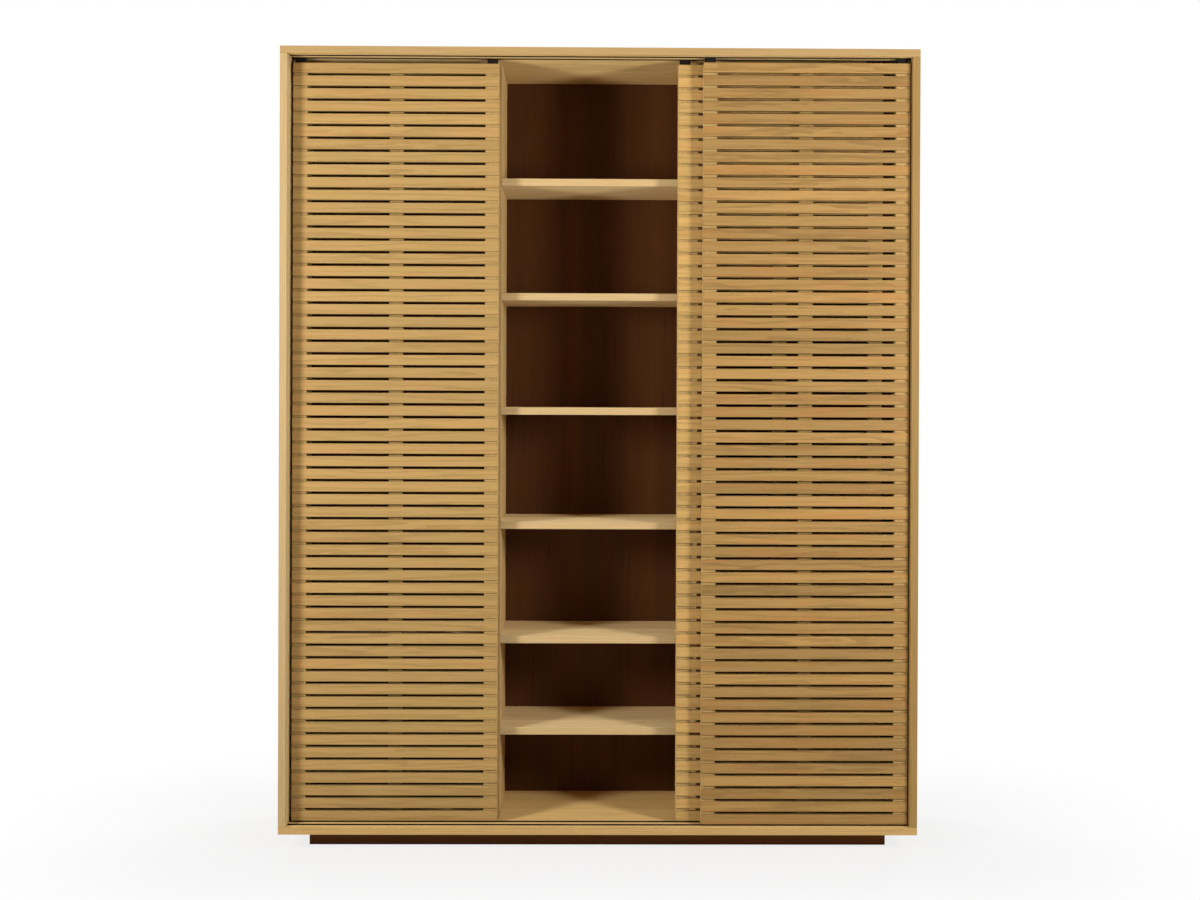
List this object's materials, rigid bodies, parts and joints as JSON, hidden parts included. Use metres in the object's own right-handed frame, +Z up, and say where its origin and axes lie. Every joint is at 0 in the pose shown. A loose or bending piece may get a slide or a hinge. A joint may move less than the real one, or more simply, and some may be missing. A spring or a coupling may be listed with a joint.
{
  "type": "louvred door cabinet",
  "caption": "Tall oak cupboard with sliding louvred doors in front of shelved bays, on a dark recessed plinth.",
  "frame": {"origin": "middle of the cabinet's footprint, on the floor", "axes": "+Z up, +X to the right along the doors, -Y out of the front"},
  "size_m": [1.75, 0.45, 2.2],
  "materials": {
    "oak_board": "oiled oak, satin",
    "oak_slat": "oiled oak, satin",
    "oak_frame": "oiled oak, satin",
    "back_veneer": "dark stained oak veneer, matt",
    "dark_plinth": "dark stained, matt",
    "dark_channel": "matt",
    "dark_nylon": "matt",
    "grey_nylon": "satin",
    "steel_axle": "ground"
  },
  "bodies": {
    "carcass": {"top_board": "oak_board", "bottom_board": "oak_board", "left_side": "oak_board", "right_side": "oak_board", "left_partition": "oak_board", "right_partition": "oak_board", "left_back_panel": "back_veneer", "middle_back_panel": "back_veneer", "right_back_panel": "back_veneer", "middle_shelf_1": "oak_board", "middle_shelf_2": "oak_board", "middle_shelf_3": "oak_board", "middle_shelf_4": "oak_board", "middle_shelf_5": "oak_board", "middle_shelf_6": "oak_board", "left_shelf_1": "oak_board", "left_shelf_2": "oak_board", "left_shelf_3": "oak_board", "right_shelf_1": "oak_board", "right_shelf_2": "oak_board", "right_shelf_3": "oak_board", "upper_front_channel": "dark_channel", "upper_rear_channel": "dark_channel", "lower_front_channel": "dark_channel", "lower_rear_channel": "dark_channel", "plinth_front_rail": "dark_plinth", "plinth_back_rail": "dark_plinth", "plinth_left_rail": "dark_plinth", "plinth_right_rail": "dark_plinth", "plinth_bearers": "dark_plinth"},
    "left_door": {"left_door_slats": "oak_slat", "left_door_left_stile": "oak_frame", "left_door_right_stile": "oak_frame", "left_door_batten": "oak_frame", "left_door_upper_guides": "dark_nylon", "left_door_roller_carriages": "dark_nylon", "left_door_axles": "steel_axle"},
    "left_door_left_roller": {"left_door_left_roller": "grey_nylon"},
    "left_door_right_roller": {"left_door_right_roller": "grey_nylon"},
    "middle_door": {"middle_door_slats": "oak_slat", "middle_door_left_stile": "oak_frame", "middle_door_right_stile": "oak_frame", "middle_door_batten": "oak_frame", "middle_door_upper_guides": "dark_nylon", "middle_door_roller_carriages": "dark_nylon", "middle_door_axles": "steel_axle"},
    "middle_door_left_roller": {"middle_door_left_roller": "grey_nylon"},
    "middle_door_right_roller": {"middle_door_right_roller": "grey_nylon"},
    "right_door": {"right_door_slats": "oak_slat", "right_door_left_stile": "oak_frame", "right_door_right_stile": "oak_frame", "right_door_batten": "oak_frame", "right_door_upper_guides": "dark_nylon", "right_door_roller_carriages": "dark_nylon", "right_door_axles": "steel_axle"},
    "right_door_left_roller": {"right_door_left_roller": "grey_nylon"},
    "right_door_right_roller": {"right_door_right_roller": "grey_nylon"}
  },
  "joints": [
    {"name": "left_door_slide", "type": "slide", "parent": "carcass", "child": "left_door", "axis": [1, 0, 0], "range_m": [-0.007, 0.24675]},
    {"name": "left_door_left_roller_spin", "type": "hinge", "parent": "left_door", "child": "left_door_left_roller", "pos_m": [-0.8285, -0.15625, 0.0735], "axis": [0, 1, 0], "continuous": true},
    {"name": "left_door_right_roller_spin", "type": "hinge", "parent": "left_door", "child": "left_door_right_roller", "pos_m": [-0.2985, -0.15625, 0.0735], "axis": [0, 1, 0], "continuous": true},
    {"name": "middle_door_slide", "type": "slide", "parent": "carcass", "child": "middle_door", "axis": [1, 0, 0], "range_m": [-1.137, 0.004]},
    {"name": "middle_door_left_roller_spin", "type": "hinge", "parent": "middle_door", "child": "middle_door_left_roller", "pos_m": [0.3015, -0.19225, 0.0735], "axis": [0, 1, 0], "continuous": true},
    {"name": "middle_door_right_roller_spin", "type": "hinge", "parent": "middle_door", "child": "middle_door_right_roller", "pos_m": [0.8315, -0.19225, 0.0735], "axis": [0, 1, 0], "continuous": true},
    {"name": "right_door_slide", "type": "slide", "parent": "carcass", "child": "right_door", "axis": [1, 0, 0], "range_m": [-0.24675, 0.0715]},
    {"name": "right_door_left_roller_spin", "type": "hinge", "parent": "right_door", "child": "right_door_left_roller", "pos_m": [0.234, -0.15625, 0.0735], "axis": [0, 1, 0], "continuous": true},
    {"name": "right_door_right_roller_spin", "type": "hinge", "parent": "right_door", "child": "right_door_right_roller", "pos_m": [0.764, -0.15625, 0.0735], "axis": [0, 1, 0], "continuous": true}
  ],
  "couplings": [
    {"joint": "left_door_left_roller_spin", "follows": "left_door_slide", "rad_per_m": 83.333},
    {"joint": "left_door_right_roller_spin", "follows": "left_door_slide", "rad_per_m": 83.333},
    {"joint": "middle_door_left_roller_spin", "follows": "middle_door_slide", "rad_per_m": 83.333},
    {"joint": "middle_door_right_roller_spin", "follows": "middle_door_slide", "rad_per_m": 83.333},
    {"joint": "right_door_left_roller_spin", "follows": "right_door_slide", "rad_per_m": 83.333},
    {"joint": "right_door_right_roller_spin", "follows": "right_door_slide", "rad_per_m": 83.333}
  ]
}
